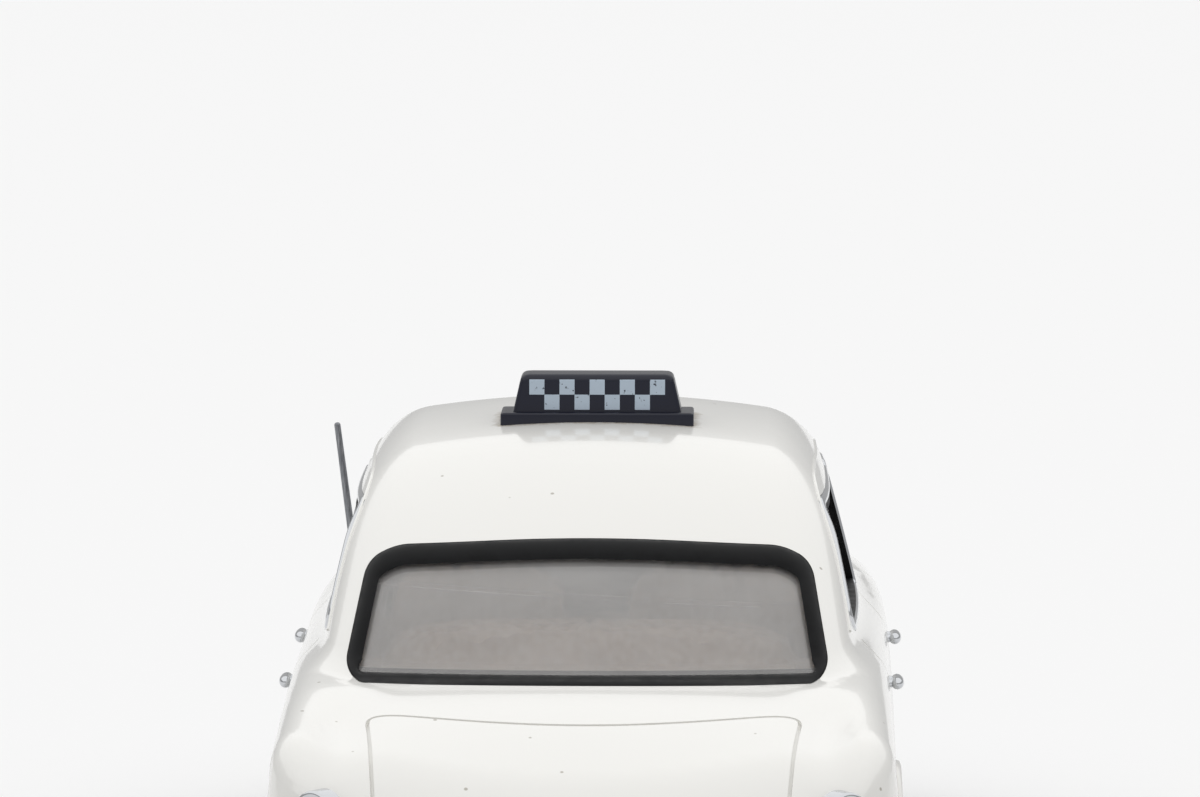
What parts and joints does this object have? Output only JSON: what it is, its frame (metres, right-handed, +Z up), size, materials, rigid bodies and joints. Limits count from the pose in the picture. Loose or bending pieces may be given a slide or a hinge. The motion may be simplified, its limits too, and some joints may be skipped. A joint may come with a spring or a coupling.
{
  "type": "toy police car",
  "caption": "Die-cast toy saloon police car: white hollow shell on a base plate, clear glazing, seats, plated trim, roof sign and free-rolling wheels on steel axles.",
  "frame": {"origin": "on the ground under the middle of the car's overall box, where the tyres stand", "axes": "+Y towards the front of the car, +Z up, +X to the driver's right"},
  "size_m": [0.043, 0.1066, 0.0385],
  "materials": {
    "white_enamel": "glossy white enamel over die-cast metal",
    "base_metal": "satin dark grey paint over die-cast metal",
    "steel": "drawn steel",
    "interior_plastic": "moulded tan plastic",
    "facia_plastic": "moulded dark plastic",
    "clear_plastic": "clear moulded plastic, lightly scratched",
    "seal_rubber": "satin black surround",
    "plated_plastic": "bright plating",
    "lamp_clear": "clear ribbed plastic",
    "lamp_amber": "tinted plastic",
    "lamp_red": "tinted plastic",
    "plate_plastic": "gloss black, bare",
    "sign_plastic": null,
    "aerial_rod": "grey wire",
    "wheel_plastic": "silver-grey moulding",
    "tyre_rubber": "moulded black rubber"
  },
  "bodies": {
    "body": {"body_shell": "white_enamel", "base_plate": "base_metal", "base_screws": "steel", "interior_tub": "interior_plastic", "dashboard": "facia_plastic", "steering_wheel": "facia_plastic", "glazing": "clear_plastic", "windscreen_seal": "seal_rubber", "rear_window_seal": "seal_rubber", "window_trim_front_left": "plated_plastic", "window_trim_front_right": "plated_plastic", "window_trim_rear_left": "plated_plastic", "window_trim_rear_right": "plated_plastic", "front_bumper": "plated_plastic", "rear_bumper": "plated_plastic", "grille": "plated_plastic", "headlamp_bezel_left": "plated_plastic", "headlamp_bezel_right": "plated_plastic", "headlamp_lens_left": "lamp_clear", "headlamp_lens_right": "lamp_clear", "front_indicator_left": "lamp_amber", "front_indicator_right": "lamp_amber", "tail_lamp_base_left": "plated_plastic", "tail_lamp_base_right": "plated_plastic", "tail_lamp_lens_left": "lamp_red", "tail_lamp_lens_right": "lamp_red", "front_number_plate": "plate_plastic", "rear_number_plate": "plate_plastic", "boot_handle": "plated_plastic", "door_handle_front_left": "plated_plastic", "door_handle_front_right": "plated_plastic", "door_handle_rear_left": "plated_plastic", "door_handle_rear_right": "plated_plastic", "roof_sign": "sign_plastic", "aerial_base": "plated_plastic", "aerial": "aerial_rod"},
    "front_wheels": {"front_axle": "steel", "wheel_front_left": "wheel_plastic", "wheel_front_right": "wheel_plastic", "tyre_front_left": "tyre_rubber", "tyre_front_right": "tyre_rubber", "hub_cap_front_left": "plated_plastic", "hub_cap_front_right": "plated_plastic"},
    "rear_wheels": {"rear_axle": "steel", "wheel_rear_left": "wheel_plastic", "wheel_rear_right": "wheel_plastic", "tyre_rear_left": "tyre_rubber", "tyre_rear_right": "tyre_rubber", "hub_cap_rear_left": "plated_plastic", "hub_cap_rear_right": "plated_plastic"}
  },
  "joints": [
    {"name": "front_axle_spin", "type": "hinge", "parent": "body", "child": "front_wheels", "pos_m": [0, 0.03205, 0.0072], "axis": [1, 0, 0], "continuous": true},
    {"name": "rear_axle_spin", "type": "hinge", "parent": "body", "child": "rear_wheels", "pos_m": [0, -0.03145, 0.0072], "axis": [1, 0, 0], "continuous": true}
  ]
}
